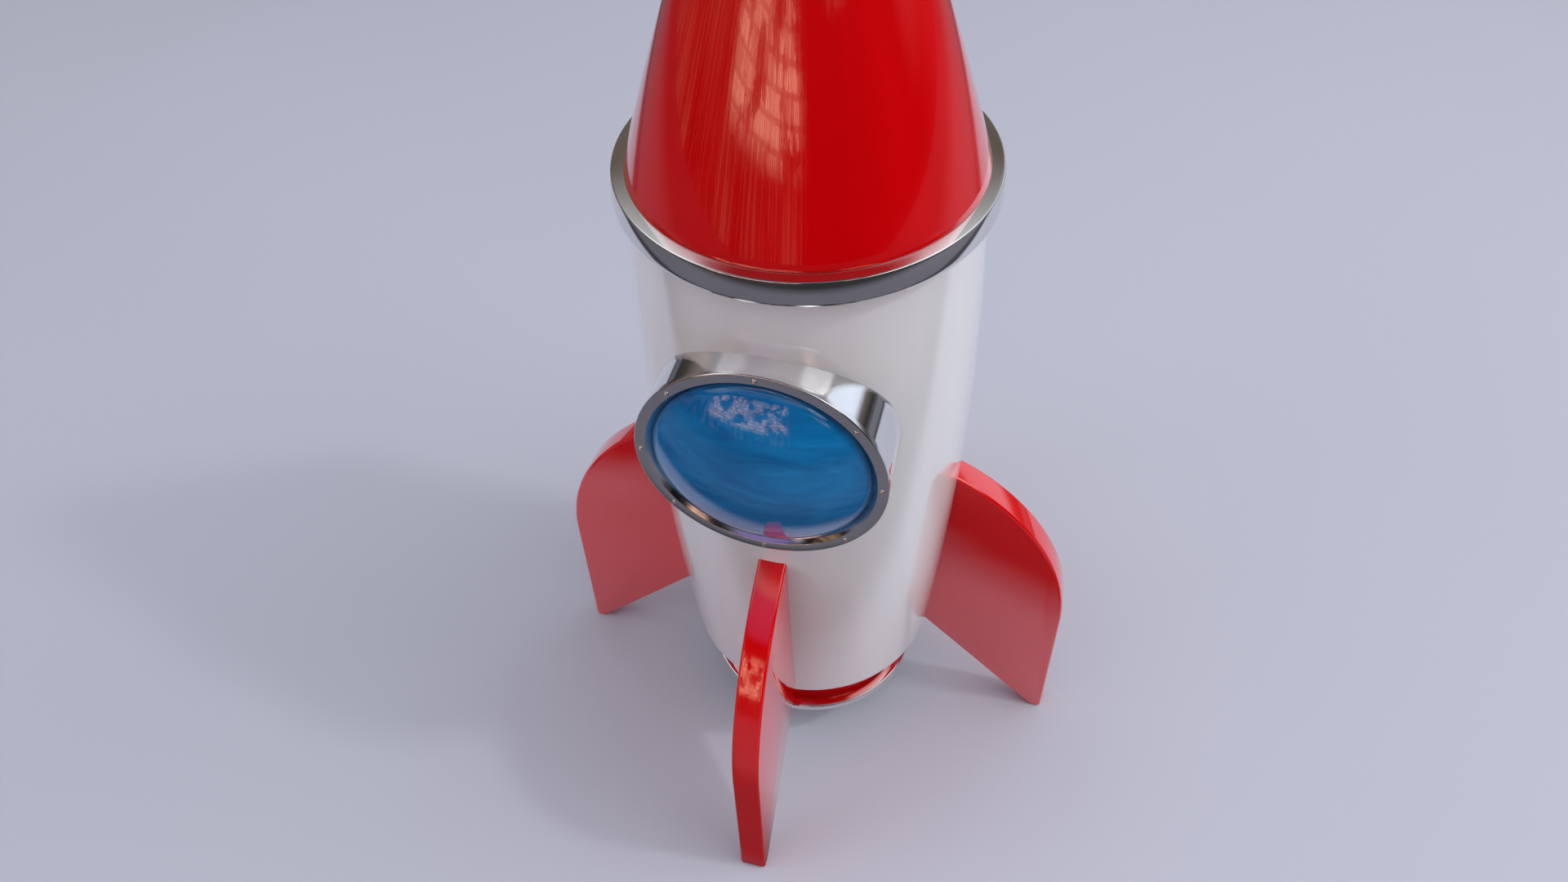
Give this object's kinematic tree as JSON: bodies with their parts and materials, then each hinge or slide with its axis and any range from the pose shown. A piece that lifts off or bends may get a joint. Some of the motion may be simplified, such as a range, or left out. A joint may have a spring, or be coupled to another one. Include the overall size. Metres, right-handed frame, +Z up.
{
  "type": "tin space rocket",
  "caption": "Free-standing tin toy rocket with a barrel hull, a lift-off nose cone, a domed porthole, slab fins and chrome rings.",
  "frame": {"origin": "On the rocket's axis at floor level, midway between the feet of the fins.", "axes": "+Z up along the rocket's axis, -Y out of the porthole and along the front fin, +X along the fin on the viewer's right when facing the porthole."},
  "size_m": [0.156, 0.156, 0.3],
  "materials": {
    "red_paint": "glossy red enamel on tin",
    "white_paint": "glossy white enamel on tin",
    "chrome_trim": "bright chrome plate",
    "bezel_steel": "satin steel",
    "screw_steel": "bright turned steel",
    "bare_tin": "unpainted tinplate",
    "blue_lens": "glossy blue moulded dome",
    "blue_print": "blue printed tin",
    "gasket_rubber": "matt black rubber"
  },
  "bodies": {
    "rocket": {"collar_ring": "chrome_trim", "mouth_ring": "bare_tin", "body_shell": "white_paint", "porthole_tube": "chrome_trim", "porthole_back_cap": "bare_tin", "lens_backing": "blue_print", "lens_seat": "bare_tin", "lens_gasket": "gasket_rubber", "porthole_lens": "blue_lens", "bezel_ring": "bezel_steel", "bezel_screws": "screw_steel", "fin_front": "red_paint", "fin_right": "red_paint", "fin_rear": "red_paint", "fin_left": "red_paint", "fin_strip_front": "bare_tin", "fin_strip_right": "bare_tin", "fin_strip_rear": "bare_tin", "fin_strip_left": "bare_tin", "fin_screws": "screw_steel", "tail_cup": "red_paint", "base_ring": "chrome_trim", "base_plate": "bare_tin", "compartment_floor": "bare_tin", "spacer_tube": "bare_tin", "tie_rod": "screw_steel", "tie_rod_nuts": "screw_steel", "tie_rod_washers": "screw_steel"},
    "nose": {"nose_cone": "red_paint", "nose_pan": "bare_tin"}
  },
  "joints": [
    {"name": "nose_lift", "type": "slide", "parent": "rocket", "child": "nose", "axis": [0, 0, 1], "range_m": [0, 0.06]}
  ]
}
